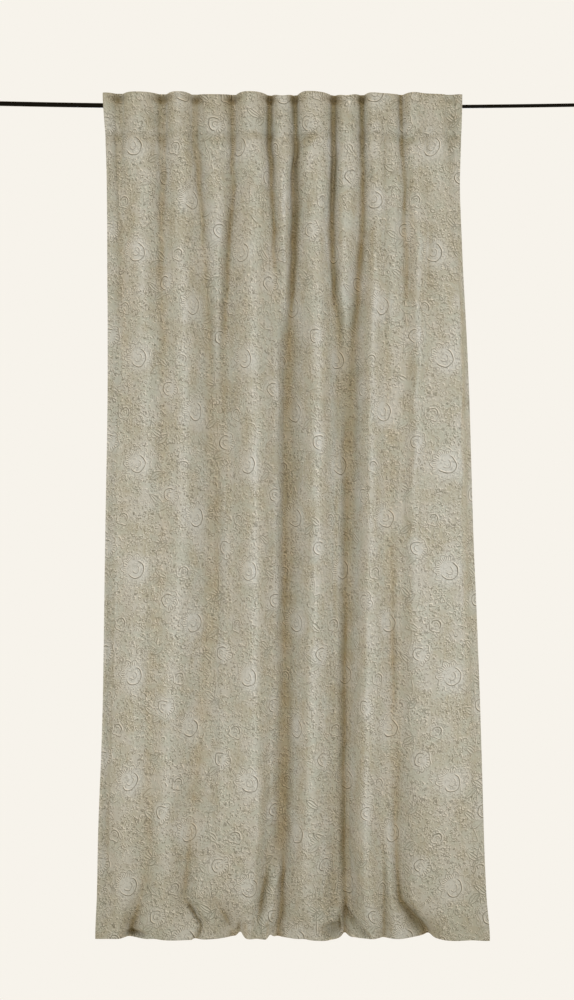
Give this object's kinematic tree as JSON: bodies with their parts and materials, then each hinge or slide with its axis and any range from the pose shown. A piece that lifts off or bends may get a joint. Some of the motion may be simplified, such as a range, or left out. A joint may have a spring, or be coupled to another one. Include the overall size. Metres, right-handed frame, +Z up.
{
  "type": "curtain panel on a telescopic curtain rod",
  "caption": "Printed full-length curtain panel hanging in soft uneven folds from a slim black two-part rod through hidden back tabs.",
  "frame": {"origin": "middle of the rod's axis, halfway between its two ends, where the brackets' line is", "axes": "+Z up along the drop, +X along the rod to the viewer's right, -Y out of the front of the cloth"},
  "size_m": [1.8, 0.1242, 2.5051],
  "materials": {
    "printed_cloth": "matt woven cloth with a tone on tone print",
    "plain_tape": "plain woven tape",
    "black_lacquer": "satin black lacquer"
  },
  "bodies": {
    "root": {"curtain_panel": "printed_cloth", "rod_wide_tube": "black_lacquer", "rod_slim_tube": "black_lacquer", "back_tab_1": "plain_tape", "back_tab_2": "plain_tape", "back_tab_3": "plain_tape", "back_tab_4": "plain_tape", "back_tab_5": "plain_tape", "back_tab_6": "plain_tape", "back_tab_7": "plain_tape", "back_tab_8": "plain_tape", "back_tab_9": "plain_tape", "back_tab_10": "plain_tape"}
  },
  "joints": []
}
